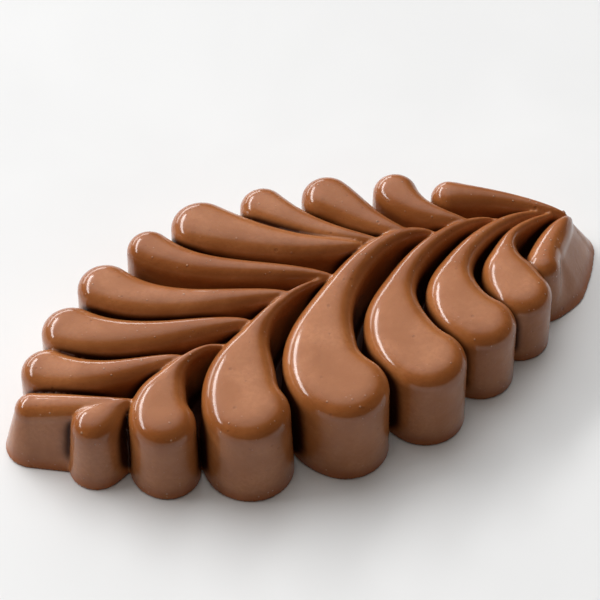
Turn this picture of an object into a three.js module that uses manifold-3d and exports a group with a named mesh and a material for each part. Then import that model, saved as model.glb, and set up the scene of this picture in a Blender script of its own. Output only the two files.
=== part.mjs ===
// Chocolate mousse turned out of a leaf mould.
// Nineteen comma-shaped lobes stand in two rows on one shared core. Their
// tails run in from both sides and meet along a vein down the leaf.
// The leaf lies along X, its front row towards -Y, its flat base on Z = 0.
import * as THREE from 'three';
import Module from 'manifold-3d';

// Driving dimensions, millimetres and degrees.
const CREST_HEIGHT = 20.5;       // height of the tallest lobe
const CREST_STATION = -8;        // X of that lobe
const FALL_SPAN = 60;            // distance over which the height falls by
const STEM_FALL = 0.45;          // this share towards the stem end, and by
const TIP_FALL = 0.28;           // this share towards the pointed end
const EDGE_RADIUS = 3.5;         // rounding of the top edges
const CROWN_RISE = 0.4;          // how much the flat tops bulge
const WALL_DRAFT = 1;            // lean of the walls
const TIP_HALF_WIDTH = 0.45;     // a tail never gets thinner than this
const CORE_SETBACK = 2;          // core edge, measured in from a bulb's centre
const NECK_ROUND = 7;            // rounding of a front lobe's inward bends
const CORE_HEIGHT_SHARE = 0.28;  // core height as a share of the lobe height
const CORE_CENTRE = [1, 1.5];    // point that the core outline shrinks to
const CORE_LEDGE = { share: 0.94, height: 0.8 };    // where its wall ends
const CORE_PLATEAU = { share: 0.6, height: 1 };     // where its top levels off

// How a lobe's half-width falls along its spine: point shapes the closing
// tip, belly keeps the bulb full, power sets how suddenly the tail begins.
const FRONT_TAPER = { point: 0.5, belly: 1.2, power: 2 };
const BACK_TAPER = { point: 0.4, belly: 0, power: 1.3 };

// Mesh fineness.
const SECTION_SPACING = 3.6;     // outline length between cross sections
const FEWEST_SECTIONS = 6;
const FINE_STEPS = 200;          // steps that the spacing is worked out over
const CAP_STEPS = 11;            // segments round a bulb's outer end
const OVERLAP_SLACK = 0.05;      // depth at which a fold of the outline is cut
const STEEPEST_CLOSING = 0.9;    // limit on the sine of a side's closing angle
const FILLET_ANGLES = [22.5, 45, 67.5, 90];
const FILLET_LIMITS = [0.08, 0.3, 0.6, 0.88];  // the same rings in a narrow tail

// A lobe starts at the bulb centre and ends at the tail tip. leave and arrive
// are the directions of its spine there, pull how far each direction holds as
// a share of the chord. reach is the length of the full-width part, tail the
// share of the bulb radius that the tail starts with, and flare how far the
// walls spread on their way down.
const FRONT_ROW = [
  { bulb: [-48.1, -9.2], radius: 4.5, reach: 4.2, tail: 0.6, flare: 0.9,
    tip: [-39.5, -8.6], leave: 8, arrive: -8, pull: [0.44, 0.42] },
  { bulb: [-36.1, -16], radius: 6, reach: 8.2, tail: 0.33, flare: 0.3,
    tip: [-18.6, -4.2], leave: 134, arrive: -32, pull: [0.22, 0.44] },
  { bulb: [-20.7, -21.1], radius: 7.9, reach: 12.7, tail: 0.28, flare: 0.4,
    tip: [8.9, 4.4], leave: 155, arrive: -3, pull: [0.09, 0.57] },
  { bulb: [-1.5, -23.3], radius: 8.4, reach: 14.4, tail: 0.55,
    tip: [33.8, 8.4], leave: 139, arrive: -42, pull: [0.29, 0.36] },
  { bulb: [16.2, -22.4], radius: 7.8, reach: 12.7, tail: 0.43,
    tip: [48.2, 9.5], leave: 119, arrive: -21, pull: [0.44, 0.29] },
  { bulb: [31, -16.9], radius: 6.8, reach: 10.8, tail: 0.48,
    tip: [58.8, 9.4], leave: 125, arrive: -9, pull: [0.43, 0.34] },
  { bulb: [42.6, -11.3], radius: 6.3, reach: 7, tail: 0.33,
    tip: [63.5, 9.1], leave: 95, arrive: 9, pull: [0.52, 0.44] },
  { bulb: [50.8, -5.2], radius: 3.7, reach: 8, tail: 1.35, flare: 1.2,
    tip: [63.2, 6.8], leave: 58, arrive: 38, pull: [0.35, 0.38] },
  { bulb: [55.8, -1.6], radius: 1.5, reach: 9, tail: 1.2, flare: 5.6,
    tip: [63.6, 6.6], leave: 42, arrive: 52, pull: [0.35, 0.35] },
];
const BACK_ROW = [
  { bulb: [-57.3, 1.3], radius: 3.4, tip: [-40.9, -8.3], leave: -32, arrive: -20,
    tail: 1.15, flare: 2.5 },
  { bulb: [-51.6, 7.9], radius: 5.2, tip: [-27.2, -3.5], leave: -50, arrive: -13 },
  { bulb: [-44.1, 14.7], radius: 5.9, tip: [-11.9, -1], leave: -51, arrive: -20 },
  { bulb: [-34.1, 21.7], radius: 5.7, tip: [-1.6, 2.7], leave: -61, arrive: -20 },
  { bulb: [-22.6, 27], radius: 4.6, tip: [8.5, 3.7], leave: -63, arrive: -35 },
  { bulb: [-10.6, 28.4], radius: 6.3, tip: [17.3, 10.1], leave: -48, arrive: -16 },
  { bulb: [3.2, 28.7], radius: 4.8, tip: [21.5, 9.9], leave: -62, arrive: -27 },
  { bulb: [16.8, 26.6], radius: 5.4, tip: [27.9, 10.4], leave: -59, arrive: -32 },
  { bulb: [31.1, 23.8], radius: 4.7, tip: [41.4, 9.9], leave: -88, arrive: -28 },
  { bulb: [41.5, 19.4], radius: 3.9, tip: [63.3, 7.4], leave: -22, arrive: -37 },
];
const BACK_TAIL = 0.78;
const BACK_PULL = [0.38, 0.36];
const BACK_REACH = 2;            // reach of a back lobe, in bulb radii

const heading = (degrees) => {
  const angle = THREE.MathUtils.degToRad(degrees);
  return new THREE.Vector2(Math.cos(angle), Math.sin(angle));
};

// Height of the lobe tops over a station along the leaf.
function topHeight(x) {
  const away = (x - CREST_STATION) / FALL_SPAN;
  const fall = away < 0 ? STEM_FALL : TIP_FALL;
  return CREST_HEIGHT * (1 - fall * away * away);
}

// Spine of a lobe, from the bulb centre to the tail tip.
function lobeSpine(lobe) {
  const start = new THREE.Vector2(...lobe.bulb);
  const end = new THREE.Vector2(...lobe.tip);
  const chord = start.distanceTo(end);
  const pull = lobe.pull ?? BACK_PULL;
  return new THREE.CubicBezierCurve(
    start,
    start.clone().addScaledVector(heading(lobe.leave), chord * pull[0]),
    end.clone().addScaledVector(heading(lobe.arrive), -chord * pull[1]),
    end,
  );
}

// Half-width of a lobe at a share of its spine's length.
function halfWidth(lobe, taper, length, share) {
  const reach = lobe.reach ?? lobe.radius * BACK_REACH;
  const run = (share * length) / reach;
  const fade = (1 + taper.belly * run * run) * Math.exp(-(run ** taper.power));
  const tail = lobe.tail ?? BACK_TAIL;
  const body = tail + (1 - tail) * fade;
  return Math.max(lobe.radius * (1 - share) ** taper.point * body, TIP_HALF_WIDTH);
}

// Shares of the spine's length at which a lobe is cut, closer together where
// the spine bends, so that the outline is stepped evenly.
function sectionShares(lobe, taper, spine, length) {
  const travelled = [0];
  let tangent = spine.getTangentAt(0);
  for (let i = 1; i <= FINE_STEPS; i += 1) {
    const next = spine.getTangentAt(i / FINE_STEPS);
    const turn = Math.abs(tangent.cross(next));
    const width = halfWidth(lobe, taper, length, i / FINE_STEPS);
    travelled.push(travelled[i - 1] + length / FINE_STEPS + turn * width);
    tangent = next;
  }
  const total = travelled[FINE_STEPS];
  const count = Math.max(Math.round(total / SECTION_SPACING), FEWEST_SECTIONS);
  const shares = [];
  for (let i = 0; i < count; i += 1) {
    const step = travelled.findIndex((done) => done >= (total * i) / count);
    shares.push(step / FINE_STEPS);
  }
  shares.push(1);
  return shares;
}

// Cross sections along a lobe. slope is the angle by which its sides close in.
function lobeSections(lobe, taper) {
  const spine = lobeSpine(lobe);
  const length = spine.getLength();
  return sectionShares(lobe, taper, spine, length).map((share) => {
    const ahead = Math.min(share + 1 / FINE_STEPS, 1);
    const behind = Math.max(share - 1 / FINE_STEPS, 0);
    const growth = halfWidth(lobe, taper, length, ahead)
      - halfWidth(lobe, taper, length, behind);
    const closing = -growth / ((ahead - behind) * length);
    return {
      centre: spine.getPointAt(share),
      along: spine.getTangentAt(share),
      width: halfWidth(lobe, taper, length, share),
      slope: Math.asin(THREE.MathUtils.clamp(closing, -STEEPEST_CLOSING, STEEPEST_CLOSING)),
    };
  });
}

// Point at a distance outside a station's edge.
function besideEdge(station, distance) {
  return station.centre.clone().addScaledVector(station.out, station.width + distance);
}

// Stations on the arc that joins two stations across an inward bend. The arc
// touches the circles of both.
function neckArc(from, to) {
  const across = to.centre.clone().sub(from.centre);
  const apart = across.length();
  const first = from.width + NECK_ROUND;
  const second = to.width + NECK_ROUND;
  const along = (apart * apart + first * first - second * second) / (2 * apart);
  const aside = new THREE.Vector2(-across.y, across.x).normalize();
  if (aside.dot(from.out) + aside.dot(to.out) < 0) aside.negate();
  const middle = from.centre.clone()
    .addScaledVector(across.normalize(), along)
    .addScaledVector(aside, Math.sqrt(first * first - along * along));
  const start = from.centre.clone().sub(middle).angle();
  const turn = to.centre.clone().sub(middle).angle() - start;
  const sweep = Math.atan2(Math.sin(turn), Math.cos(turn));
  const steps = Math.ceil((Math.abs(sweep) * NECK_ROUND) / SECTION_SPACING);
  const arc = [];
  for (let i = 0; i < steps; i += 1) {
    const share = (i + 0.5) / steps;
    const width = THREE.MathUtils.lerp(from.width, to.width, share);
    const angle = start + sweep * share;
    const inward = new THREE.Vector2(Math.cos(angle), Math.sin(angle));
    arc.push({
      section: Math.round(THREE.MathUtils.lerp(from.section, to.section, share)),
      centre: middle.clone().addScaledVector(inward, NECK_ROUND + width),
      width,
      out: inward.negate(),
    });
  }
  return arc;
}

// Outline of a lobe as stations: the bulb's outer end, one side, the tip and
// the other side. Each holds the number of its section, the point that it is
// measured from and the way out. Stations that a tight bend folds back into
// the lobe, or that its neck is rounded over, make way for an arc.
function lobeLoop(sections, neck) {
  const station = (index, angle) => {
    const section = sections[index];
    const turned = Math.atan2(section.along.y, section.along.x) + angle;
    const out = new THREE.Vector2(Math.cos(turned), Math.sin(turned));
    return { section: index, centre: section.centre, width: section.width, out };
  };
  const side = (index) => Math.PI / 2 - sections[index].slope;
  const last = sections.length - 1;
  const loop = [];
  const span = 2 * (Math.PI - side(0));
  for (let i = 1; i < CAP_STEPS; i += 1) {
    loop.push(station(0, side(0) + (span * i) / CAP_STEPS));
  }
  for (let i = 0; i <= last; i += 1) {
    loop.push(station(i, -side(i)));
  }
  loop.push(station(last, 0));
  for (let i = last; i >= 0; i -= 1) {
    loop.push(station(i, side(i)));
  }
  const isClear = (point) => sections.every((other) => {
    const gap = besideEdge(point, neck).distanceTo(other.centre);
    return gap > other.width + neck - OVERLAP_SLACK;
  });
  const clear = loop.map(isClear);
  const rounded = [];
  let before = null;
  let bridged = false;
  loop.forEach((point, i) => {
    if (!clear[i]) {
      bridged = neck > 0;
      return;
    }
    if (bridged && before) rounded.push(...neckArc(before, point));
    rounded.push(point);
    before = point;
    bridged = false;
  });
  return rounded;
}

// Rings of a lobe from the base up to the middle of its top.
function lobeRings(loop, flare) {
  const lean = Math.tan(THREE.MathUtils.degToRad(WALL_DRAFT));
  const place = (station, extra, z) => {
    const flat = besideEdge(station, extra);
    return [flat.x, flat.y, z];
  };
  const shoulder = (station) => {
    return topHeight(station.centre.x) - CROWN_RISE - EDGE_RADIUS;
  };
  const rings = [
    loop.map((s) => place(s, flare + shoulder(s) * lean, 0)),
    loop.map((s) => place(s, 0, shoulder(s))),
  ];
  FILLET_ANGLES.forEach((degrees, i) => {
    const turn = 1 - Math.cos(THREE.MathUtils.degToRad(degrees));
    rings.push(loop.map((s) => {
      const inset = Math.min(EDGE_RADIUS * turn, s.width * FILLET_LIMITS[i]);
      const left = EDGE_RADIUS - inset;
      const climb = Math.sqrt(EDGE_RADIUS ** 2 - left ** 2);
      return place(s, -inset, shoulder(s) + climb);
    }));
  });
  return rings;
}

// Height of the lobe's ridge over a spine point.
function ridgeHeight(station) {
  const left = Math.max(EDGE_RADIUS - station.width, 0);
  const climb = Math.sqrt(EDGE_RADIUS ** 2 - left ** 2);
  const flat = Math.max(station.width - EDGE_RADIUS, 0);
  const crown = CROWN_RISE * Math.min(flat / EDGE_RADIUS, 1);
  return topHeight(station.centre.x) - CROWN_RISE - EDGE_RADIUS + climb + crown;
}

// Closed solid from rings of equal count. The last ring is closed over a list
// of middle points, one for each of its stations, and the first ring flat.
function closedSolid(wasm, rings, middles, middleOf) {
  const points = rings.flat();
  const count = rings[0].length;
  const firstMiddle = points.length;
  points.push(...middles);
  const triangles = [];
  const add = (a, b, c) => {
    if (a !== b && b !== c && a !== c) triangles.push(a, b, c);
  };
  for (let r = 0; r + 1 < rings.length; r += 1) {
    for (let i = 0; i < count; i += 1) {
      const next = (i + 1) % count;
      add(r * count + i, r * count + next, (r + 1) * count + next);
      add(r * count + i, (r + 1) * count + next, (r + 1) * count + i);
    }
  }
  const top = (rings.length - 1) * count;
  for (let i = 0; i < count; i += 1) {
    const next = (i + 1) % count;
    const here = firstMiddle + middleOf(i);
    const there = firstMiddle + middleOf(next);
    const step = Math.sign(there - here);
    add(top + i, top + next, there);
    for (let middle = there; middle !== here; middle -= step) {
      add(top + i, middle, middle - step);
    }
  }
  const outline = rings[0].map(([x, y]) => new THREE.Vector2(x, y));
  for (const [a, b, c] of THREE.ShapeUtils.triangulateShape(outline, [])) {
    add(a, c, b);
  }
  return new wasm.Manifold(new wasm.Mesh({
    numProp: 3,
    vertProperties: new Float32Array(points.flat()),
    triVerts: new Uint32Array(triangles),
  }));
}

function lobeSolid(wasm, lobe, taper, neck) {
  const sections = lobeSections(lobe, taper);
  const loop = lobeLoop(sections, neck);
  const rings = lobeRings(loop, lobe.flare ?? 0);
  const middles = sections.map((s) => [s.centre.x, s.centre.y, ridgeHeight(s)]);
  return closedSolid(wasm, rings, middles, (i) => loop[i].section);
}

// The core fills the leaf between the lobes up to the floor of the grooves.
// Its edge crosses every lobe a little way in from the bulb, and runs out to
// the point where the tails of both rows end.
function coreSolid(wasm) {
  const inside = (lobe) => {
    const spine = lobeSpine(lobe);
    return spine.getPointAt(Math.min(CORE_SETBACK / spine.getLength(), 0.5));
  };
  const point = BACK_ROW[BACK_ROW.length - 1].tip;
  const ring = [
    ...FRONT_ROW.map(inside),
    new THREE.Vector2(...point),
    ...BACK_ROW.map(inside).reverse(),
  ];
  const knots = ring.map((p) => new THREE.Vector3(p.x, p.y, 0));
  const outline = new THREE.CatmullRomCurve3(knots, true).getPoints(ring.length * 2);
  outline.pop();
  const middle = new THREE.Vector3(...CORE_CENTRE, 0);
  const level = (share, heightShare) => outline.map((p) => {
    const at = middle.clone().lerp(p, share);
    return [at.x, at.y, topHeight(at.x) * heightShare];
  });
  const rings = [
    level(1, 0),
    level(CORE_LEDGE.share, CORE_HEIGHT_SHARE * CORE_LEDGE.height),
    level(CORE_PLATEAU.share, CORE_HEIGHT_SHARE * CORE_PLATEAU.height),
  ];
  const [x, y] = CORE_CENTRE;
  const peak = [[x, y, topHeight(x) * CORE_HEIGHT_SHARE]];
  return closedSolid(wasm, rings, peak, () => 0);
}

// Geometry from a joined solid.
function toGeometry(solid) {
  const mesh = solid.getMesh();
  const geometry = new THREE.BufferGeometry();
  const stride = mesh.numProp;
  const positions = new Float32Array((mesh.vertProperties.length / stride) * 3);
  for (let v = 0; v * 3 < positions.length; v += 1) {
    for (let axis = 0; axis < 3; axis += 1) {
      positions[v * 3 + axis] = mesh.vertProperties[v * stride + axis];
    }
  }
  geometry.setAttribute('position', new THREE.BufferAttribute(positions, 3));
  geometry.setIndex(new THREE.BufferAttribute(new Uint32Array(mesh.triVerts), 1));
  return geometry;
}

// Moves a geometry so that its base is centred on the origin.
function centreOnBase(geometry) {
  geometry.computeBoundingBox();
  const middle = geometry.boundingBox.getCenter(new THREE.Vector3());
  geometry.translate(-middle.x, -middle.y, -geometry.boundingBox.min.z);
  return geometry;
}

async function buildMousse() {
  const wasm = await Module();
  wasm.setup();
  let solid = coreSolid(wasm);
  for (const lobe of FRONT_ROW) {
    solid = solid.add(lobeSolid(wasm, lobe, FRONT_TAPER, NECK_ROUND));
  }
  for (const lobe of BACK_ROW) {
    solid = solid.add(lobeSolid(wasm, lobe, BACK_TAPER, 0));
  }
  const material = new THREE.MeshStandardMaterial({ color: 0x8a5a3c, roughness: 0.4 });
  const mousse = new THREE.Mesh(centreOnBase(toGeometry(solid)), material);
  mousse.name = 'mousse';
  return mousse;
}

const part = new THREE.Group();
part.name = 'leaf_mousse';
part.add(await buildMousse());

export default part;
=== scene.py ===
"""Chocolate mousse turned out of a leaf mould, on a plain pale table.

Comma-shaped lobes stand in two rows on a shared core. Lengths are in
millimetres until a mesh is handed to Blender, which works in metres.
"""

from __future__ import annotations

import logging
import math
from dataclasses import dataclass, field
from enum import Enum
from typing import Optional, Union

import bmesh
import bpy
import numpy as np
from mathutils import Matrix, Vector


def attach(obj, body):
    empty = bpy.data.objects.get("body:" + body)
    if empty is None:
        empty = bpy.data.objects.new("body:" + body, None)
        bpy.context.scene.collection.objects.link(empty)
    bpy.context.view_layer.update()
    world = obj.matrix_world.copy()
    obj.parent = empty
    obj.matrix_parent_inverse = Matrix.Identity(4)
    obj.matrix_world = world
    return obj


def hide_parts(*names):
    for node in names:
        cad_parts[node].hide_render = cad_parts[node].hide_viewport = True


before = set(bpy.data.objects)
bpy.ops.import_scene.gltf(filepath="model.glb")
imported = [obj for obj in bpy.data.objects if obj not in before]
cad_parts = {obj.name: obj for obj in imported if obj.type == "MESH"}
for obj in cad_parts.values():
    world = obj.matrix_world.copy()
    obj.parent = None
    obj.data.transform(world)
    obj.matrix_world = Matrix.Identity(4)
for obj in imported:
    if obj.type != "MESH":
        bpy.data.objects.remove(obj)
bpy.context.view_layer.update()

log = logging.getLogger("mousse_scene")

MM = 0.001
FULLNESS = "fullness"
VIEW_TURN = -23.6
Pair = tuple[float, float]
Triple = tuple[float, float, float]
Colour = tuple[float, float, float, float]
Socket = bpy.types.NodeSocket
Value = Union[Socket, float, Triple, Colour]


class Taper(Enum):
    """How a lobe's half-width falls along its spine: point, belly and power."""

    FRONT = (0.5, 1.2, 2.0)
    BACK = (0.4, 0.0, 1.3)


@dataclass(frozen=True)
class Lobe:
    """One comma-shaped lobe, from its bulb's centre to the tip of its tail."""

    bulb: Pair
    radius: float
    tip: Pair
    leave: float
    arrive: float
    taper: Taper = Taper.BACK
    reach: Optional[float] = None
    tail: float = 0.78
    pull: Pair = (0.38, 0.36)
    flare: float = 0.0
    tip_half_width: float = 0.45
    blend: float = 0.3
    samples: int = 181
    curve_samples: int = 1086

    def spine(self) -> tuple[np.ndarray, np.ndarray, float]:
        """Samples the spine evenly by length.

        Returns:
            The points, the share of the length at each, and the length.
        """
        start = np.array(self.bulb)
        end = np.array(self.tip)
        chord = float(np.linalg.norm(end - start))
        out = math.radians(self.leave)
        into = math.radians(self.arrive)
        first = start + chord * self.pull[0] * np.array([math.cos(out), math.sin(out)])
        second = end - chord * self.pull[1] * np.array([math.cos(into), math.sin(into)])
        t = np.linspace(0.0, 1.0, self.curve_samples)[:, None]
        curve = (
            (1 - t) ** 3 * start
            + 3 * (1 - t) ** 2 * t * first
            + 3 * (1 - t) * t**2 * second
            + t**3 * end
        )
        steps = np.linalg.norm(np.diff(curve, axis=0), axis=1)
        travelled = np.concatenate([[0.0], np.cumsum(steps)])
        length = float(travelled[-1])
        share = np.linspace(0.0, 1.0, self.samples)
        points = np.stack(
            [np.interp(share * length, travelled, curve[:, i]) for i in (0, 1)], axis=1
        )
        return points, share, length

    def half_widths(self, share: np.ndarray, length: float) -> np.ndarray:
        """Half-width of the lobe along its spine.

        Args:
            share: Shares of the spine's length.
            length: The spine's length.

        Returns:
            The half-width at each share.
        """
        point, belly, power = self.taper.value
        run = share * length / (self.reach or 2 * self.radius)
        fade = (1 + belly * run**2) * np.exp(-(run**power))
        body = self.tail + (1 - self.tail) * fade
        width = self.radius * (1 - share) ** point * body
        return np.maximum(width, self.tip_half_width)


FRONT_ROW = (
    Lobe((-48.1, -9.2), 4.5, (-39.5, -8.6), 8, -8, Taper.FRONT, 4.2, 0.6, (0.44, 0.42), 0.9),
    Lobe((-36.1, -16), 6.0, (-18.6, -4.2), 134, -32, Taper.FRONT, 8.2, 0.33, (0.22, 0.44), 0.3),
    Lobe((-20.7, -21.1), 7.9, (8.9, 4.4), 155, -3, Taper.FRONT, 12.7, 0.28, (0.09, 0.57), 0.4),
    Lobe((-1.5, -23.3), 8.4, (33.8, 8.4), 139, -42, Taper.FRONT, 14.4, 0.55, (0.29, 0.36)),
    Lobe((16.2, -22.4), 7.8, (48.2, 9.5), 119, -21, Taper.FRONT, 12.7, 0.43, (0.44, 0.29)),
    Lobe((31.0, -16.9), 6.8, (58.8, 9.4), 125, -9, Taper.FRONT, 10.8, 0.48, (0.43, 0.34)),
    Lobe((42.6, -11.3), 6.3, (63.5, 9.1), 95, 9, Taper.FRONT, 7, 0.33, (0.52, 0.44)),
    Lobe((50.8, -5.2), 3.7, (63.2, 6.8), 58, 38, Taper.FRONT, 8, 1.35, (0.35, 0.38), 1.2),
    Lobe(
        (55.8, -1.6), 1.5, (63.6, 6.6), 42, 52, Taper.FRONT, 9, 1.2, (0.35, 0.35), 5.6, blend=4.0
    ),
)
BACK_ROW = (
    Lobe((-57.3, 1.3), 3.4, (-40.9, -8.3), -32, -20, tail=1.15, flare=2.5),
    Lobe((-51.6, 7.9), 5.2, (-27.2, -3.5), -50, -13),
    Lobe((-44.1, 14.7), 5.9, (-11.9, -1), -51, -20),
    Lobe((-34.1, 21.7), 5.7, (-1.6, 2.7), -61, -20),
    Lobe((-22.6, 27), 4.6, (8.5, 3.7), -63, -35),
    Lobe((-10.6, 28.4), 6.3, (17.3, 10.1), -48, -16),
    Lobe((3.2, 28.7), 4.8, (21.5, 9.9), -62, -27),
    Lobe((16.8, 26.6), 5.4, (27.9, 10.4), -59, -32),
    Lobe((31.1, 23.8), 4.7, (41.4, 9.9), -88, -28),
    Lobe((41.5, 19.4), 3.9, (63.3, 7.4), -22, -37),
)


def smooth_union(a: np.ndarray, b: np.ndarray, blend: float | np.ndarray) -> np.ndarray:
    """Joins two distance fields with a small fillet.

    Args:
        a: One field.
        b: The other field.
        blend: How far from the crossing the fillet starts.

    Returns:
        The joined field.
    """
    near = np.maximum(blend - np.abs(a - b), 0.0) / blend
    return np.minimum(a, b) - near * near * blend * 0.25


def box_mean(values: np.ndarray, reach: int, axis: int) -> np.ndarray:
    """Running mean along one axis.

    Args:
        values: The values.
        reach: Places taken on each side.
        axis: The axis.

    Returns:
        The means, in an array of the same shape.
    """
    pads = [(0, 0)] * values.ndim
    pads[axis] = (reach + 1, reach)
    total = np.cumsum(np.pad(values, pads, mode="edge"), axis=axis, dtype=np.float64)
    upper = np.take(total, np.arange(2 * reach + 1, total.shape[axis]), axis)
    lower = np.take(total, np.arange(total.shape[axis] - 2 * reach - 1), axis)
    return (upper - lower) / (2 * reach + 1)


@dataclass
class VoxelGrid:
    """A box of evenly spaced sample points."""

    low: Triple
    high: Triple
    step: float
    axes: list[np.ndarray] = field(init=False)

    def __post_init__(self) -> None:
        """Lays out the sample stations along each axis."""
        self.axes = [
            np.arange(lo, hi + self.step, self.step, dtype=np.float64)
            for lo, hi in zip(self.low, self.high)
        ]

    def window(self, low: np.ndarray, high: np.ndarray) -> tuple[slice, slice]:
        """Slices of the plan that cover a rectangle.

        Args:
            low: Lowest corner in plan.
            high: Highest corner in plan.

        Returns:
            One slice along X and one along Y.
        """
        cuts = []
        for axis in (0, 1):
            first = int(np.searchsorted(self.axes[axis], low[axis]))
            last = int(np.searchsorted(self.axes[axis], high[axis]))
            cuts.append(slice(max(first - 1, 0), last + 1))
        return cuts[0], cuts[1]


class SurfaceNets:
    """Turns a sampled distance field into a quad mesh."""

    CORNERS = [(i, j, k) for i in (0, 1) for j in (0, 1) for k in (0, 1)]
    PINCH_ROUNDS = 6
    PINCH_FILL = 0.05
    EVEN_SHARE = 0.5
    LEAST_SLOPE = 0.05

    def __init__(self, values: np.ndarray, grid: VoxelGrid) -> None:
        """Keeps the field and its grid.

        Args:
            values: Distances on the grid, negative inside.
            grid: The grid that they were sampled on.
        """
        self.values = values
        self.low = np.array([axis[0] for axis in grid.axes])
        self.step = grid.step

    def mesh(self, relax_rounds: int) -> tuple[np.ndarray, np.ndarray]:
        """Builds the mesh and settles its points on the surface.

        Args:
            relax_rounds: Rounds of evening out.

        Returns:
            The points and the quads.
        """
        self._fill_pinches()
        cells, index = self._crossed_cells()
        points = self._cell_points(cells)
        quads = self._quads(index)
        for _ in range(relax_rounds):
            points = self._settle(self._even_out(points, quads))
        return self.low + points * self.step, quads

    def _fill_pinches(self) -> None:
        """Fills grid points where the surface would touch itself along an edge."""
        sides = (slice(None, -1), slice(1, None))
        for _ in range(self.PINCH_ROUNDS):
            for axis in range(3):
                layers = np.moveaxis(self.values, axis, 0)
                for near, far in (sides, sides[::-1]):
                    here = layers[:, near, :-1] < 0
                    beside = layers[:, far, :-1] < 0
                    above = layers[:, near, 1:] < 0
                    across = layers[:, far, 1:] < 0
                    pinched = here & across & ~beside & ~above
                    layers[:, far, :-1][pinched] = -self.PINCH_FILL * self.step

    def _crossed_cells(self) -> tuple[np.ndarray, np.ndarray]:
        """Cells that the surface passes through.

        Returns:
            Their grid places, and a grid of their numbers with -1 elsewhere.
        """
        inside = self.values < 0
        nx, ny, nz = (n - 1 for n in inside.shape)
        held = np.zeros((nx, ny, nz), dtype=np.int8)
        for i, j, k in self.CORNERS:
            held += inside[i : i + nx, j : j + ny, k : k + nz]
        crossed = (held > 0) & (held < 8)
        index = np.full(crossed.shape, -1, dtype=np.int64)
        index[crossed] = np.arange(int(crossed.sum()))
        return np.argwhere(crossed), index

    def _cell_points(self, cells: np.ndarray) -> np.ndarray:
        """One point in each crossed cell, at the mean of its edge crossings.

        Args:
            cells: Grid places of the crossed cells.

        Returns:
            The points, in grid steps.
        """
        total = np.zeros((len(cells), 3))
        count = np.zeros((len(cells), 1))
        for corner in self.CORNERS:
            for axis in range(3):
                if corner[axis]:
                    continue
                start = cells + corner
                stop = start.copy()
                stop[:, axis] += 1
                a = self.values[tuple(start.T)]
                b = self.values[tuple(stop.T)]
                crossing = (a < 0) != (b < 0)
                share = np.where(crossing, a / np.where(crossing, a - b, 1.0), 0.0)
                place = start.astype(float)
                place[:, axis] += share
                total += place * crossing[:, None]
                count += crossing[:, None]
        return total / count

    def _quads(self, index: np.ndarray) -> np.ndarray:
        """Quads round every grid edge that the surface cuts, facing out.

        Args:
            index: The grid of cell numbers.

        Returns:
            Four point numbers a row.
        """
        inside = self.values < 0
        found = []
        for axis in range(3):
            u, v = (axis + 1) % 3, (axis + 2) % 3
            lower = np.moveaxis(inside, axis, 0)[:-1]
            upper = np.moveaxis(inside, axis, 0)[1:]
            edges = np.argwhere(np.moveaxis(lower != upper, 0, axis))
            edges = edges[(edges[:, u] > 0) & (edges[:, v] > 0)]
            leaving = inside[tuple(edges.T)]
            ring = []
            for du, dv in ((0, 0), (-1, 0), (-1, -1), (0, -1)):
                place = edges.copy()
                place[:, u] += du
                place[:, v] += dv
                ring.append(index[tuple(place.T)])
            quad = np.stack(ring, axis=1)
            quad[~leaving] = quad[~leaving][:, ::-1]
            found.append(quad)
        return np.concatenate(found)

    def _even_out(self, points: np.ndarray, quads: np.ndarray) -> np.ndarray:
        """Moves each point towards the mean of its neighbours.

        Args:
            points: The points.
            quads: The quads.

        Returns:
            The moved points.
        """
        ends = np.concatenate([quads[:, [i, (i + 1) % 4]] for i in range(4)])
        total = np.zeros_like(points)
        for axis in range(3):
            total[:, axis] = np.bincount(ends[:, 0], points[ends[:, 1], axis], len(points))
            total[:, axis] += np.bincount(ends[:, 1], points[ends[:, 0], axis], len(points))
        count = np.bincount(ends.ravel(), minlength=len(points))[:, None]
        return points + self.EVEN_SHARE * (total / np.maximum(count, 1) - points)

    def _settle(self, points: np.ndarray) -> np.ndarray:
        """Brings points back to the surface along the field's slope.

        Args:
            points: The points, in grid steps.

        Returns:
            The settled points.
        """
        value, slope = self.sample(points)
        size = np.maximum((slope**2).sum(axis=1, keepdims=True), self.LEAST_SLOPE)
        move = value[:, None] * slope / size
        reach = np.linalg.norm(move, axis=1, keepdims=True)
        return points - move * np.minimum(1.0, 1.0 / np.maximum(reach, 1e-9))

    def sample(self, points: np.ndarray) -> tuple[np.ndarray, np.ndarray]:
        """Field and slope between the grid points.

        Args:
            points: The points, in grid steps.

        Returns:
            The value, and the slope for each grid step.
        """
        top = np.array(self.values.shape) - 2
        base = np.clip(np.floor(points).astype(int), 0, top)
        part = points - base
        value = np.zeros(len(points))
        slope = np.zeros_like(points)
        for corner in self.CORNERS:
            near = np.where(corner, part, 1 - part)
            sign = np.where(corner, 1.0, -1.0)
            at = self.values[tuple((base + corner).T)]
            value += at * near.prod(axis=1)
            for axis in range(3):
                others = [a for a in range(3) if a != axis]
                slope[:, axis] += at * sign[axis] * near[:, others].prod(axis=1)
        return value, slope


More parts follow.
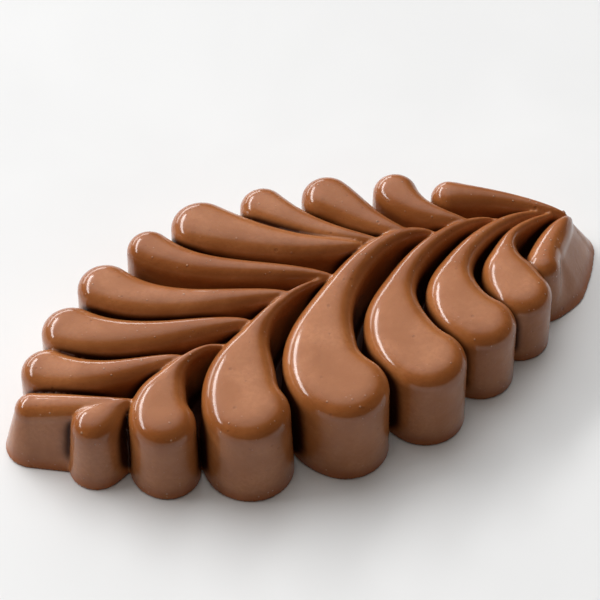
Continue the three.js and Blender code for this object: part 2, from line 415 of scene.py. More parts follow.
@dataclass
class LeafMousse:
    """The moulded mousse: every lobe and the core, as one smooth body."""

    crest_height: float = 20.5
    crest_station: float = -8.0
    fall_span: float = 60.0
    stem_fall: float = 0.45
    tip_fall: float = 0.28
    edge_radius: float = 3.5
    crown_rise: float = 0.4
    flatness: float = 1.2
    wall_draft: float = 1.0
    core_setback: float = 2.0
    core_share: float = 0.28
    core_rise: float = 2.5
    neck_round: float = 7.0
    groove_blend: float = 0.3
    base_round: float = 0.5
    heel_from: float = 0.4
    heel_fade: float = 0.9
    thinnest: float = 0.3
    inner_share: float = 0.3
    core_dome: float = 0.75
    core_steepness: float = 0.8
    neck_turns: int = 120
    neck_slack: float = 0.02
    neck_near: float = 0.9
    neck_batch: int = 400
    grid_low: Triple = (-67.0, -35.5, -1.4)
    grid_high: Triple = (71.0, 38.0, 22.6)
    step: float = 0.4
    rough_step: float = 0.7
    margin: float = 3.0
    relax_rounds: int = 3
    fullness_reach: float = 2.2
    even_reach: float = 0.9
    middle: np.ndarray = field(init=False)

    def top_height(self, x: np.ndarray) -> np.ndarray:
        """Height of the lobe tops over a station along the leaf."""
        away = (x - self.crest_station) / self.fall_span
        fall = np.where(away < 0, self.stem_fall, self.tip_fall)
        return self.crest_height * (1 - fall * away**2)

    def shoulder(self, x: np.ndarray) -> np.ndarray:
        """Height at which the walls turn into the rounded top edge."""
        return self.top_height(x) - self.crown_rise - self.edge_radius

    def build(self) -> bpy.types.Object:
        """Makes the mousse as a Blender object.

        Returns:
            The object, in place on the frame.
        """
        step = self.step
        grid = VoxelGrid(self.grid_low, self.grid_high, step)
        values = self._core_field(grid)
        for lobe in FRONT_ROW + BACK_ROW:
            self._join_lobe(values, grid, lobe)
        z = grid.axes[2][None, None, :]
        values = -smooth_union(-values, np.broadcast_to(z, values.shape), self.base_round)
        points, quads = SurfaceNets(values, grid).mesh(self.relax_rounds)
        fullness = self._fullness(values, grid, points)
        piece = self._to_object("leaf_mousse", self._place(points), quads)
        layer = piece.data.attributes.new(FULLNESS, "FLOAT", "POINT")
        layer.data.foreach_set("value", fullness[: len(piece.data.vertices)])
        return piece

    def _fullness(self, values: np.ndarray, grid: VoxelGrid, points: np.ndarray) -> np.ndarray:
        """Share of the space round each point that is inside the mousse.

        Args:
            values: Distance field, negative inside.
            grid: The field's grid.
            points: Points on the surface.

        Returns:
            About 0.5 on a flat face, less on an outward edge, more in a groove.
        """
        filled = (values < 0).astype(np.float32)
        filled[:, :, grid.axes[2] < 0] = 0.0
        reach = max(int(round(self.fullness_reach / grid.step)), 1)
        for axis in (0, 1, 2) * 2:
            filled = box_mean(filled, reach, axis)
        share, _ = SurfaceNets(filled, grid).sample((points - np.array(grid.low)) / grid.step)
        return share.astype(np.float32)

    def _join_lobe(self, values: np.ndarray, grid: VoxelGrid, lobe: Lobe) -> None:
        """Joins one lobe to the field.

        Args:
            values: The field so far, changed in place.
            grid: The field's grid.
            lobe: The lobe to add.
        """
        points, share, length = lobe.spine()
        widths = lobe.half_widths(share, length)
        around = (widths + lobe.flare + self.margin)[:, None]
        cut_x, cut_y = grid.window((points - around).min(axis=0), (points + around).max(axis=0))
        px, py = np.meshgrid(grid.axes[0][cut_x], grid.axes[1][cut_y], indexing="ij")
        away, width, spine_x = self._nearest_section(px, py, points, widths)
        edge = away - width
        if lobe.taper is Taper.FRONT:
            edge = self._round_neck(px, py, edge, points, widths)
        reach = max(int(round(self.even_reach / grid.step)), 1)
        for axis in (0, 1) * 2:
            width = box_mean(width, reach, axis)
            spine_x = box_mean(spine_x, reach, axis)
        z = grid.axes[2][None, None, :]
        shoulder = self.shoulder(spine_x)[..., None]
        body = self._lobe_body(edge[..., None], width[..., None], shoulder, z, lobe.flare)
        fade = np.clip((z / shoulder - self.heel_from) / self.heel_fade, 0.0, 1.0)
        blend = lobe.blend + (self.groove_blend - lobe.blend) * fade
        values[cut_x, cut_y] = smooth_union(values[cut_x, cut_y], body, blend)

    def _lobe_body(
        self, edge: np.ndarray, width: np.ndarray, shoulder: np.ndarray, z: np.ndarray, flare: float
    ) -> np.ndarray:
        """Distance field of one lobe: leaning walls under a rounded top.

        Args:
            edge: Distance in plan from the lobe's outline at its shoulder.
            width: Half-width of the lobe there.
            shoulder: Height of the shoulder there.
            z: Heights of the grid's layers.
            flare: How far the foot stands out beyond the walls' draft.

        Returns:
            The field.
        """
        lean = math.tan(math.radians(self.wall_draft))
        wall = edge - np.maximum(shoulder - z, 0.0) * (lean + flare / shoulder)
        across = np.clip(width, self.thinnest, 2 * self.edge_radius)
        left = np.maximum(self.edge_radius - across, 0.0)
        wide = np.maximum(across / self.edge_radius - 1, 0.0)
        climb = np.sqrt(self.edge_radius**2 - left**2) + self.crown_rise * wide * (2 - wide)
        power = 2 + self.flatness * wide
        side = np.maximum(wall / across + 1, 0.0)
        rise = np.maximum(z - shoulder, 0.0) / climb
        round_off = np.sqrt(side**power + rise**2)
        slope = np.hypot(0.5 * power * side ** (power - 1) / across, rise / climb)
        rounded = (round_off - 1) * round_off / np.maximum(slope, 1e-6)
        inner = np.minimum(np.maximum(wall, z - shoulder - climb), -self.inner_share * across)
        return np.where(round_off > 0.5, rounded, inner)

    def _round_neck(
        self,
        px: np.ndarray,
        py: np.ndarray,
        edge: np.ndarray,
        points: np.ndarray,
        widths: np.ndarray,
    ) -> np.ndarray:
        """Rounds the inward corners of a lobe's plan outline.

        Args:
            px: X of the plan points.
            py: Y of the plan points.
            edge: Distance of the plan points from the outline.
            points: Centres of the circles along the spine.
            widths: Radii of the circles.

        Returns:
            Distance from the rounded outline.
        """
        turns = np.linspace(0.0, 2 * math.pi, self.neck_turns, endpoint=False)
        ways = np.stack([np.cos(turns), np.sin(turns)], axis=1)
        reach = (widths + self.neck_round)[:, None, None]
        rail = (points[:, None, :] + reach * ways).reshape(-1, 2)
        clear = np.full(len(rail), np.inf)
        for point, width in zip(points, widths):
            clear = np.minimum(clear, np.hypot(*(rail - point).T) - width)
        rail = rail[clear > self.neck_round - self.neck_slack]
        near = edge < self.neck_round * self.neck_near
        spots = np.stack([px[near], py[near]], axis=1)
        gap = np.full(len(spots), np.inf)
        for start in range(0, len(rail), self.neck_batch):
            some = rail[start : start + self.neck_batch]
            across = spots[:, None, :] - some[None, :, :]
            gap = np.minimum(gap, np.sqrt((across**2).sum(axis=2)).min(axis=1))
        rounded = edge.copy()
        rounded[near] = np.minimum(edge[near], self.neck_round - gap)
        return rounded

    @staticmethod
    def _nearest_section(
        px: np.ndarray, py: np.ndarray, points: np.ndarray, widths: np.ndarray
    ) -> tuple[np.ndarray, np.ndarray, np.ndarray]:
        """The circle along the spine that each plan point is deepest in.

        Args:
            px: X of the plan points.
            py: Y of the plan points.
            points: Centres of the circles.
            widths: Radii of the circles.

        Returns:
            Distance to that circle's centre, its radius, and its centre's X.
        """
        gap = np.hypot(px[..., None] - points[:, 0], py[..., None] - points[:, 1])
        depth = widths - gap
        best = np.clip(depth.argmax(axis=-1), 1, len(widths) - 2)
        pick = best[..., None]
        before = np.take_along_axis(depth, pick - 1, -1)[..., 0]
        here = np.take_along_axis(depth, pick, -1)[..., 0]
        after = np.take_along_axis(depth, pick + 1, -1)[..., 0]
        bend = before - 2 * here + after
        shift = np.where(bend < -1e-12, 0.5 * (before - after) / np.minimum(bend, -1e-12), 0.0)
        shift = np.clip(shift, -1.0, 1.0)
        deepest = here - 0.25 * (before - after) * shift
        place = best + shift
        stations = np.arange(len(widths))
        width = np.interp(place, stations, widths)
        spine_x = np.interp(place, stations, points[:, 0])
        return width - deepest, width, spine_x

    def _core_field(self, grid: VoxelGrid) -> np.ndarray:
        """Distance field of the core that carries the lobes.

        Args:
            grid: The grid to sample it on.

        Returns:
            The field.
        """
        outline = self._core_outline()
        px, py = np.meshgrid(grid.axes[0], grid.axes[1], indexing="ij")
        depth = -self._outline_distance(px, py, outline)
        rise = np.clip(depth / self.core_rise, 0.0, 1.0)
        dome = self.core_dome * np.sqrt(rise) + (1 - self.core_dome) * rise
        height = self.core_share * self.top_height(px) * dome
        z = grid.axes[2][None, None, :]
        top = self.core_steepness * (z - height[..., None])
        return np.maximum(top, np.broadcast_to(-depth[..., None], top.shape))

    def _core_outline(self) -> np.ndarray:
        """Corners of the core's plan, a little way in from the bulbs.

        Returns:
            The corners, in order round the leaf.
        """

        def inside(lobe: Lobe) -> np.ndarray:
            """Point on a lobe's spine that the core's edge passes through."""
            points, share, length = lobe.spine()
            at = self.core_setback / length
            return np.array([np.interp(at, share, points[:, i]) for i in (0, 1)])

        knots = [inside(lobe) for lobe in FRONT_ROW]
        knots.append(np.array(BACK_ROW[-1].tip))
        knots.extend(inside(lobe) for lobe in reversed(BACK_ROW))
        return np.array(knots)

    @staticmethod
    def _outline_distance(px: np.ndarray, py: np.ndarray, corners: np.ndarray) -> np.ndarray:
        """Signed distance in plan to a closed outline, negative inside.

        Args:
            px: X of the plan points.
            py: Y of the plan points.
            corners: Corners of the outline.

        Returns:
            The distance at each plan point.
        """
        nearest = np.full(px.shape, np.inf)
        inside = np.zeros(px.shape, dtype=bool)
        for a, b in zip(corners, np.roll(corners, -1, axis=0)):
            edge = b - a
            along = ((px - a[0]) * edge[0] + (py - a[1]) * edge[1]) / (edge @ edge)
            along = np.clip(along, 0.0, 1.0)
            gap = np.hypot(px - a[0] - along * edge[0], py - a[1] - along * edge[1])
            nearest = np.minimum(nearest, gap)
            spans = (a[1] > py) != (b[1] > py)
            if abs(edge[1]) > 1e-9:
                cross = a[0] + (py - a[1]) * edge[0] / edge[1]
                inside ^= spans & (px < cross)
        return np.where(inside, -nearest, nearest)

    def _place(self, points: np.ndarray) -> np.ndarray:
        """Centres the mesh on the frame, base down, and flattens the base.

        Args:
            points: Points in leaf coordinates.

        Returns:
            Points in the frame, still in millimetres.
        """
        self.middle = (points.min(axis=0) + points.max(axis=0)) / 2
        self.middle[2] = 0.0
        points = points - self.middle
        points[:, 2] = np.maximum(points[:, 2], 0.0)
        return points

    @staticmethod
    def _to_object(name: str, points: np.ndarray, quads: np.ndarray) -> bpy.types.Object:
        """Makes a smooth-shaded mesh object from points in millimetres.

        Args:
            name: Name of the piece.
            points: The points.
            quads: The quads.

        Returns:
            The linked object.
        """
        mesh = bpy.data.meshes.new(name)
        mesh.from_pydata((points * MM).tolist(), [], quads.tolist())
        mesh.validate()
        mesh.shade_smooth()
        piece = bpy.data.objects.new(name, mesh)
        bpy.context.scene.collection.objects.link(piece)
        return piece


class NodeBench:
    """Small helper that adds and joins nodes in one tree."""

    def __init__(self, tree: bpy.types.NodeTree) -> None:
        """Keeps the tree that nodes are added to."""
        self.tree = tree

    def add(self, kind: str, **settings: object) -> bpy.types.Node:
        """Adds a node and sets its plain properties.

        Args:
            kind: The node's type name.
            **settings: Property values.

        Returns:
            The node.
        """
        node = self.tree.nodes.new(kind)
        for name, value in settings.items():
            setattr(node, name, value)
        return node

    def join(self, source: Value, target: Socket) -> None:
        """Links a socket to the target, or sets the target's own value.

        Args:
            source: A socket, a number, an offset or a colour.
            target: The socket to feed.
        """
        if isinstance(source, Socket):
            self.tree.links.new(source, target)
        else:
            target.default_value = source

    def math(self, operation: str, first: Value, second: Value) -> Socket:
        """Adds a math node.

        Args:
            operation: The node's operation.
            first: The first value, a socket or a number.
            second: The second value, a socket or a number.

        Returns:
            The result's socket.
        """
        node = self.add("ShaderNodeMath", operation=operation)
        self.join(first, node.inputs[0])
        self.join(second, node.inputs[1])
        return node.outputs[0]

    def remap(self, value: Socket, low: float, high: float, to_low: float, to_high: float) -> Socket:
        """Maps a range of values smoothly onto another.

        Args:
            value: The value to map.
            low: Value that becomes to_low.
            high: Value that becomes to_high.
            to_low: Result at low.
            to_high: Result at high.

        Returns:
            The result's socket.
        """
        node = self.add("ShaderNodeMapRange", interpolation_type="SMOOTHSTEP")
        self.join(value, node.inputs["Value"])
        self.join(low, node.inputs["From Min"])
        self.join(high, node.inputs["From Max"])
        self.join(to_low, node.inputs["To Min"])
        self.join(to_high, node.inputs["To Max"])
        return node.outputs["Result"]

    def mix_colour(self, share: Socket, first: Value, second: Value, blend: str = "MIX") -> Socket:
        """Mixes two colours.

        Args:
            share: Share of the second colour.
            first: A colour or its socket.
            second: A colour or its socket.
            blend: The node's blend type.

        Returns:
            The result's socket.
        """
        node = self.add("ShaderNodeMix", data_type="RGBA", blend_type=blend)
        self.join(share, node.inputs["Factor"])
        self.join(first, node.inputs[6])
        self.join(second, node.inputs[7])
        return node.outputs[2]

    def millimetres(self) -> Socket:
        """Position on the piece in millimetres.

        Returns:
            The position's socket.
        """
        scale = self.add("ShaderNodeVectorMath", operation="SCALE")
        self.join(1 / MM, scale.inputs["Scale"])
        self.join(self.add("ShaderNodeTexCoord").outputs["Object"], scale.inputs[0])
        return scale.outputs["Vector"]


def new_finish(name: str) -> tuple[bpy.types.Material, NodeBench, bpy.types.Node]:
    """Starts a material with one main shader.

    Args:
        name: The material's name.

    Returns:
        The material, its bench and its main shader.
    """
    material = bpy.data.materials.new(name)
    material.use_nodes = True
    material.node_tree.nodes.clear()
    bench = NodeBench(material.node_tree)
    shader = bench.add("ShaderNodeBsdfPrincipled")
    output = bench.add("ShaderNodeOutputMaterial")
    bench.join(shader.outputs["BSDF"], output.inputs["Surface"])
    return material, bench, shader


@dataclass(frozen=True)
class BubbleLayer:
    """One scatter of small bubbles: spacing, share of places filled, offset."""

    size: float
    share: float
    shift: Triple = (0.0, 0.0, 0.0)


class EffectGroups:
    """Node groups that the finishes share, each built once."""

    MOTTLE = "cloudy_mottle"
    NOISE = {"Detail": 3.0, "Roughness": 0.55, "Distortion": 0.4}
    PATCH_RANGE = (0.32, 0.68)

    BUBBLES = "fine_bubbles"
    SCATTER = 0.9
    LEAST_REACH = 0.14
    EXTRA_REACH = 0.22
    BOWL_FLOOR = 0.35

    @staticmethod
    def _start(
        name: str, inputs: dict[str, str], output: str
    ) -> tuple[NodeBench, bpy.types.Node, bpy.types.Node]:
        """Opens a new group with named sockets.

        Args:
            name: The group's name.
            inputs: Names and types of the sockets going in.
            output: Name of the value coming out.

        Returns:
            The group's bench, its input node and its output node.
        """
        group = bpy.data.node_groups.new(name, "ShaderNodeTree")
        for label, kind in inputs.items():
            group.interface.new_socket(label, in_out="INPUT", socket_type=kind)
        group.interface.new_socket(output, in_out="OUTPUT", socket_type="NodeSocketFloat")
        bench = NodeBench(group)
        return bench, bench.add("NodeGroupInput"), bench.add("NodeGroupOutput")

    @classmethod
    def mottle(cls) -> bpy.types.NodeTree:
        """Cloudy patches at one size, from 0 to 1.

        Returns:
            The group, with Vector and Size in and Patches out.
        """
        if cls.MOTTLE in bpy.data.node_groups:
            return bpy.data.node_groups[cls.MOTTLE]
        sockets = {"Vector": "NodeSocketVector", "Size": "NodeSocketFloat"}
        bench, source, result = cls._start(cls.MOTTLE, sockets, "Patches")
        noise = bench.add("ShaderNodeTexNoise", noise_dimensions="3D")
        for name, value in cls.NOISE.items():
            bench.join(value, noise.inputs[name])
        bench.join(source.outputs["Vector"], noise.inputs["Vector"])
        bench.join(bench.math("DIVIDE", 1.0, source.outputs["Size"]), noise.inputs["Scale"])
        patches = bench.remap(noise.outputs["Fac"], *cls.PATCH_RANGE, 0.0, 1.0)
        bench.join(patches, result.inputs["Patches"])
        return bench.tree

    @classmethod
    def bubbles(cls) -> bpy.types.NodeTree:
        """Sparse round bubbles, from 0 round them to 1 in their middles.

        Returns:
            The group, with Vector, Size and Share in and Pit out.
        """
        if cls.BUBBLES in bpy.data.node_groups:
            return bpy.data.node_groups[cls.BUBBLES]
        sockets = {"Vector": "NodeSocketVector", "Size": "NodeSocketFloat", "Share": "NodeSocketFloat"}
        bench, source, result = cls._start(cls.BUBBLES, sockets, "Pit")
        cells = bench.add("ShaderNodeTexVoronoi", voronoi_dimensions="3D", feature="F1")
        bench.join(cls.SCATTER, cells.inputs["Randomness"])
        bench.join(source.outputs["Vector"], cells.inputs["Vector"])
        bench.join(bench.math("DIVIDE", 1.0, source.outputs["Size"]), cells.inputs["Scale"])
        draws = bench.add("ShaderNodeSeparateColor")
        bench.join(cells.outputs["Color"], draws.inputs["Color"])
        chosen = bench.math("LESS_THAN", draws.outputs["Red"], source.outputs["Share"])
        reach = bench.math("MULTIPLY", draws.outputs["Green"], cls.EXTRA_REACH)
        reach = bench.math("ADD", reach, cls.LEAST_REACH)
        ratio = bench.math("DIVIDE", cells.outputs["Distance"], reach)
        bowl = bench.remap(ratio, cls.BOWL_FLOOR, 1.0, 1.0, 0.0)
        bench.join(bench.math("MULTIPLY", bowl, chosen), result.inputs["Pit"])
        return bench.tree

    @classmethod
    def place_mottle(cls, bench: NodeBench, place: Socket, size: float) -> Socket:
        """Places the mottle group at one size.

        Args:
            bench: The material's bench.
            place: Position in millimetres.
            size: Size of the patches.

        Returns:
            The patches' socket.
        """
        node = bench.add("ShaderNodeGroup", node_tree=cls.mottle())
        bench.join(size, node.inputs["Size"])
        bench.join(place, node.inputs["Vector"])
        return node.outputs["Patches"]

    @classmethod
    def place_bubbles(cls, bench: NodeBench, place: Socket, layer: BubbleLayer) -> Socket:
        """Places the bubble group for one layer.

        Args:
            bench: The material's bench.
            place: Position in millimetres.
            layer: The layer's spacing, share and offset.

        Returns:
            The bubbles' socket.
        """
        moved = bench.add("ShaderNodeVectorMath", operation="ADD")
        bench.join(place, moved.inputs[0])
        bench.join(layer.shift, moved.inputs[1])
        node = bench.add("ShaderNodeGroup", node_tree=cls.bubbles())
        bench.join(layer.size, node.inputs["Size"])
        bench.join(layer.share, node.inputs["Share"])
        bench.join(moved.outputs["Vector"], node.inputs["Vector"])
        return node.outputs["Pit"]


@dataclass(frozen=True)
class MousseFinish:
    """Set chocolate mousse: smooth, moist, finely bubbled and a little cloudy, with painted shade in
    grooves, pits and on edges, a painted warm glow at the foot and painted glints on blisters.
    """

    name: str = "mousse"
    light_brown: Colour = (0.425, 0.150, 0.044, 1.0)
    deep_brown: Colour = (0.325, 0.105, 0.025, 1.0)
    # painted shade: darker brown inside bubble pits and pores
    pit_shade_brown: Colour = (0.190, 0.060, 0.018, 1.0)
    speck_brown: Colour = (0.460, 0.180, 0.070, 1.0)
    # painted light: a warm glow along the foot of the walls
    foot_glow_brown: Colour = (0.42, 0.125, 0.022, 1.0)
    # painted highlight: lighter spots on the blisters along the edges
    blister_glint_tone: Colour = (0.72, 0.45, 0.30, 1.0)
    # painted shade: the deep grooves between lobes are darkened nearly to black
    groove_shade_tint: Colour = (0.10, 0.06, 0.04, 1.0)
    # painted shade: outward edges turned a darker, deeper brown
    edge_shade_tint: Colour = (0.86, 0.78, 0.68, 1.0)
    groove_range: Pair = (0.52, 0.68)
    edge_range: Pair = (0.34, 0.46)
    foot_glow_range: Pair = (0.4, 3.2)
    foot_glow_strength: float = 0.75

    cloud_size: float = 11.0
    wave_size: float = 5.0
    patch_size: float = 4.0
    grain_size: float = 0.9
    pits: BubbleLayer = BubbleLayer(1.5, 0.05)
    pores: BubbleLayer = BubbleLayer(0.55, 0.3)
    specks: BubbleLayer = BubbleLayer(0.9, 0.12, (31.0, 17.0, 5.0))
    blisters: BubbleLayer = BubbleLayer(0.9, 0.2, (5.0, 9.0, 2.0))
    grain_tint: float = 0.5
    speck_tint: float = 0.22
    pit_shade_tint: float = 0.3
    blister_glint_tint: float = 0.55

    roughness_range: Pair = (0.38, 0.5)
    pit_roughness: float = 0.2
    coat_range: Pair = (0.8, 1.0)
    foot_glow_coat: float = 0.35
    groove_coat: float = 0.12
    coat_roughness: float = 0.13
    coat_ior: float = 1.5
    ior: float = 1.45
    specular_level: float = 0.12
    scatter_share: float = 0.12
    scatter_depth: float = 0.8
    scatter_radius: Triple = (1.0, 0.42, 0.22)

    wave_height: float = 0.05
    grain_height: float = 0.01
    blister_height: float = 0.2
    pit_depth: float = 0.07
    pore_depth: float = 0.02

    def material(self) -> bpy.types.Material:
        """Builds the material.

        Returns:
            The material.
        """
        material, bench, shader = new_finish(self.name)
        place = bench.millimetres()
        fullness = bench.add("ShaderNodeAttribute", attribute_name=FULLNESS).outputs["Fac"]
        groove = bench.remap(fullness, *self.groove_range, 0.0, 1.0)
        edge = bench.remap(fullness, *self.edge_range, 1.0, 0.0)
        foot_glow = self._foot_glow(bench, place)
        clouds, waves, patches, grain = (
            EffectGroups.place_mottle(bench, place, size)
            for size in (self.cloud_size, self.wave_size, self.patch_size, self.grain_size)
        )
        pits, pores, specks, blisters = (
            EffectGroups.place_bubbles(bench, place, layer)
            for layer in (self.pits, self.pores, self.specks, self.blisters)
        )
        blisters = bench.math("MULTIPLY", blisters, edge)

        colour = bench.mix_colour(clouds, self.deep_brown, self.light_brown)
        # Random tone (grain, specks), plus painted light: the warm glow at the foot and painted shade
        # in pores and pits.
        tones_and_painted_light = (
            (grain, self.grain_tint, self.deep_brown),
            (specks, self.speck_tint, self.speck_brown),
            # Painted light: a warm glow along the foot of the walls.
            (foot_glow, 1.0, self.foot_glow_brown),
            # Painted shade: pores and pits darkened in their hollows.
            (pores, self.pit_shade_tint, self.pit_shade_brown),
            (pits, self.pit_shade_tint, self.pit_shade_brown),
        )
        for mask, strength, overlay in tones_and_painted_light:
            colour = bench.mix_colour(bench.math("MULTIPLY", mask, strength), colour, overlay)
        # Painted shade: the deep grooves between lobes are multiplied darker, where shade falls.
        colour = bench.mix_colour(groove, colour, self.groove_shade_tint, "MULTIPLY")
        # Painted shade: outward edges darkened for the dim band along the lobes' top edges.
        colour = bench.mix_colour(edge, colour, self.edge_shade_tint, "MULTIPLY")
        # Painted highlight: blisters on the edges lightened into small glints.
        painted_glint = bench.math("MULTIPLY", blisters, self.blister_glint_tint)
        bench.join(bench.mix_colour(painted_glint, colour, self.blister_glint_tone), shader.inputs["Base Color"])

        rough = bench.remap(patches, 0.0, 1.0, *self.roughness_range)
        rough = bench.math("ADD", rough, bench.math("MULTIPLY", pits, self.pit_roughness))
        bench.join(rough, shader.inputs["Roughness"])
        coat = bench.remap(clouds, 0.0, 1.0, *self.coat_range)
        coat = bench.math("MULTIPLY", coat, bench.remap(foot_glow, 0.0, 1.0, 1.0, self.foot_glow_coat))
        coat = bench.math("MULTIPLY", coat, bench.remap(groove, 0.0, 1.0, 1.0, self.groove_coat))
        bench.join(coat, shader.inputs["Coat Weight"])
        self._set_constants(shader)

        reliefs = (
            (waves, self.wave_height),
            (grain, self.grain_height),
            (blisters, self.blister_height),
            (pits, -self.pit_depth),
            (pores, -self.pore_depth),
        )
        bench.join(self._relief(bench, reliefs), shader.inputs["Normal"])
        return material

    def _set_constants(self, shader: bpy.types.Node) -> None:
        """Sets the shader's plain values.

        Args:
            shader: The main shader.
        """
        shader.inputs["Coat Roughness"].default_value = self.coat_roughness
        shader.inputs["Coat IOR"].default_value = self.coat_ior
        shader.inputs["IOR"].default_value = self.ior
        shader.inputs["Specular IOR Level"].default_value = self.specular_level
        shader.inputs["Subsurface Weight"].default_value = self.scatter_share
        shader.inputs["Subsurface Radius"].default_value = self.scatter_radius
        shader.inputs["Subsurface Scale"].default_value = self.scatter_depth * MM

    def _foot_glow(self, bench: NodeBench, place: Socket) -> Socket:
        """Mask of the painted warm glow along the foot of the walls, for light bounced up from the
        table and shone through the mousse.

        Args:
            bench: The material's bench.
            place: Position in millimetres.

        Returns:
            The mask's socket.
        """
        split = bench.add("ShaderNodeSeparateXYZ")
        bench.join(place, split.inputs[0])
        return bench.remap(split.outputs["Z"], *self.foot_glow_range, self.foot_glow_strength, 0.0)

    @staticmethod
    def _relief(bench: NodeBench, reliefs: tuple[tuple[Socket, float], ...]) -> Socket:
        """Normal of the finely pitted and faintly wavy skin.

        Args:
            bench: The material's bench.
            reliefs: Masks, each with its height in millimetres.

        Returns:
            The normal's socket.
        """
        height: Value = 0.0
        for mask, rise in reliefs:
            height = bench.math("ADD", bench.math("MULTIPLY", mask, rise), height)
        bump = bench.add("ShaderNodeBump")
        bench.join(1.0, bump.inputs["Strength"])
        bench.join(MM, bump.inputs["Distance"])
        bench.join(height, bump.inputs["Height"])
        return bump.outputs["Normal"]


@dataclass(frozen=True)
class PaleTable:
    """A plain pale floor, large enough to have no edge in view."""

    half_size: float = 1500.0
    squares: int = 8
    patch_size: float = 60.0
    colour: Colour = (0.80, 0.80, 0.80, 1.0)
    shaded_colour: Colour = (0.77, 0.77, 0.77, 1.0)
    roughness: float = 0.45

    def build(self) -> bpy.types.Object:
        """Makes the floor with its finish.

        Returns:
            The floor.
        """
        builder = bmesh.new()
        size = self.half_size * MM
        bmesh.ops.create_grid(builder, x_segments=self.squares, y_segments=self.squares, size=size)
        mesh = bpy.data.meshes.new("pale_table")
        builder.to_mesh(mesh)
        builder.free()
        floor = bpy.data.objects.new("pale_table", mesh)
        bpy.context.scene.collection.objects.link(floor)
        mesh.materials.append(self._material())
        return floor

    def _material(self) -> bpy.types.Material:
        """A white glazed surface with a faint unevenness.

        Returns:
            The material.
        """
        material, bench, shader = new_finish("pale_table")
        patches = EffectGroups.place_mottle(bench, bench.millimetres(), self.patch_size)
        colour = bench.mix_colour(patches, self.shaded_colour, self.colour)
        bench.join(colour, shader.inputs["Base Color"])
        shader.inputs["Roughness"].default_value = self.roughness
        return material


def direction(bearing: float, elevation: float) -> Vector:
    """Unit vector towards a bearing, from +Y towards -X, and an elevation."""
    level = math.cos(math.radians(elevation))
    east = -math.sin(math.radians(bearing)) * level
    north = math.cos(math.radians(bearing)) * level
    return Vector((east, north, math.sin(math.radians(elevation))))


@dataclass(frozen=True)
class SoftBox:
    """One rectangular soft light, aimed at a point on the leaf."""

    name: str
    bearing: float
    elevation: float
    distance: float
    width: float
    height: float
    power: float
    colour: Triple = (1.0, 1.0, 1.0)
    mirrored: bool = True

    def build(self, aim: Vector, turn: float) -> bpy.types.Object:
        """Makes the light.

        Args:
            aim: Point that the light faces.
            turn: Turn of bearing 0 from +Y, in degrees.

        Returns:
            The light.
        """
        towards = direction(self.bearing + turn, self.elevation)
        data = bpy.data.lights.new(self.name, "AREA")
        data.shape = "RECTANGLE"
        data.size = self.width
        data.size_y = self.height
        data.energy = self.power
        data.color = self.colour
        light = bpy.data.objects.new(self.name, data)
        light.location = aim + towards * self.distance
        light.rotation_mode = "QUATERNION"
        light.rotation_quaternion = (-towards).to_track_quat("-Z", "Y")
        light.visible_glossy = self.mirrored
        bpy.context.scene.collection.objects.link(light)
        return light


@dataclass(frozen=True)
class SoftSky:
    """Smooth glow in one part of the surround, over an even weak light."""

    bearing: float = 20.0
    elevation: float = 60.0
    glow: float = 1.4
    fill: float = 0.05
    fade_from: float = 0.6
    colour: Colour = (0.97, 0.985, 1.0, 1.0)

    def build(self, turn: float) -> bpy.types.World:
        """Makes the surround.

        Args:
            turn: Turn of bearing 0 from +Y, in degrees.

        Returns:
            The world.
        """
        world = bpy.data.worlds.new("soft_sky")
        world.use_nodes = True
        bench = NodeBench(world.node_tree)
        back = world.node_tree.nodes["Background"]
        back.inputs["Color"].default_value = self.colour
        coords = bench.add("ShaderNodeTexCoord")
        facing = bench.add("ShaderNodeVectorMath", operation="DOT_PRODUCT")
        facing.inputs[1].default_value = direction(self.bearing + turn, self.elevation)
        bench.join(coords.outputs["Generated"], facing.inputs[0])
        glow = bench.remap(
            facing.outputs["Value"], self.fade_from, 1.0, self.fill, self.fill + self.glow
        )
        bench.join(glow, back.inputs["Strength"])
        return world


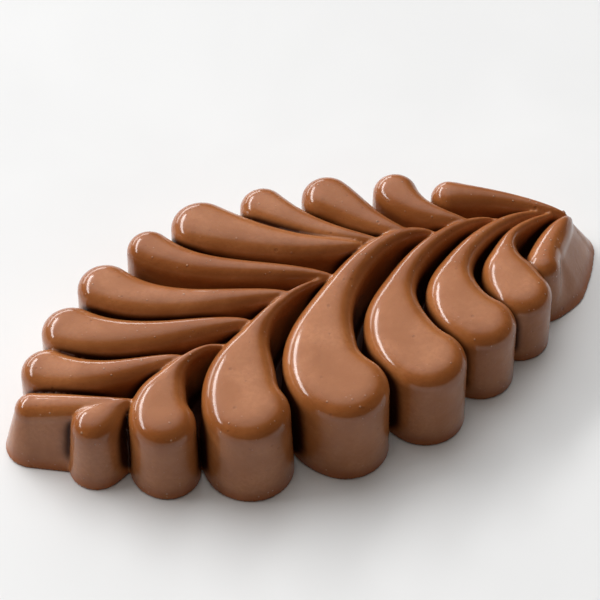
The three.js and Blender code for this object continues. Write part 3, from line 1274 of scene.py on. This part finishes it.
@dataclass(frozen=True)
class Studio:
    """Window and low side light from the left, two fills, and a soft sky behind the leaf."""

    window: SoftBox = SoftBox("window", 62.0, 36.0, 5.2, 6.0, 0.8, 195.0)
    side: SoftBox = SoftBox("side", 30.0, 12.0, 5.2, 4.8, 0.8, 72.0)
    room: SoftBox = SoftBox("room", 180.0, 78.0, 2.0, 2.0, 2.0, 4.2, (1.0, 0.87, 0.70), False)
    overhead: SoftBox = SoftBox("overhead", 20.0, 60.0, 3.0, 2.4, 2.4, 21.0, mirrored=False)
    sky: SoftSky = SoftSky()
    aim: Triple = (0.0, 0.0, 10.0)
    turn: float = VIEW_TURN

    def build(self) -> None:
        """Lights the scene."""
        bpy.context.scene.world = self.sky.build(self.turn)
        for lamp in (self.window, self.side, self.room, self.overhead):
            light = lamp.build(Vector(self.aim) * MM, self.turn)
            log.info("%s: soft light, %.1f W", light.name, light.data.energy)
        bpy.context.scene.view_settings.view_transform = "Standard"


@dataclass(frozen=True)
class ProductCamera:
    """Camera at the viewing angle."""

    azimuth: float = VIEW_TURN
    elevation: float = 46.9
    distance: float = 500.0
    aim: Triple = (6.14, 16.31, 0.0)
    lens: float = 144.0
    sensor: float = 36.0
    near_limit: float = 10.0

    def build(self, origin: np.ndarray) -> bpy.types.Object:
        """Makes the camera and makes it the scene's own.

        Args:
            origin: The frame's origin in leaf coordinates, which aim is in.

        Returns:
            The camera.
        """
        a, e = math.radians(self.azimuth), math.radians(self.elevation)
        back = Vector((math.sin(a) * math.cos(e), -math.cos(a) * math.cos(e), math.sin(e)))
        data = bpy.data.cameras.new("product_camera")
        data.lens = self.lens
        data.sensor_width = self.sensor
        data.clip_start = self.near_limit * MM
        camera = bpy.data.objects.new("product_camera", data)
        aim = Vector(self.aim) - Vector(origin)
        camera.location = (aim + back * self.distance) * MM
        camera.rotation_mode = "QUATERNION"
        camera.rotation_quaternion = (-back).to_track_quat("-Z", "Y")
        bpy.context.scene.collection.objects.link(camera)
        bpy.context.scene.camera = camera
        return camera


def main() -> None:
    """Builds the mousse, its table, the lights and the camera."""
    logging.basicConfig(level=logging.INFO, format="%(message)s")
    leaf = LeafMousse()
    piece = leaf.build()
    piece.data.materials.append(MousseFinish().material())
    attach(piece, "root")
    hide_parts("mousse")
    log.info("%s: %d points, %d faces", piece.name, len(piece.data.vertices), len(piece.data.polygons))

    floor = PaleTable().build()
    log.info("%s: floor", floor.name)

    camera = ProductCamera().build(leaf.middle)
    log.info("%s: lens %.0f mm", camera.name, camera.data.lens)
    Studio().build()


if __name__ == "__main__":
    main()
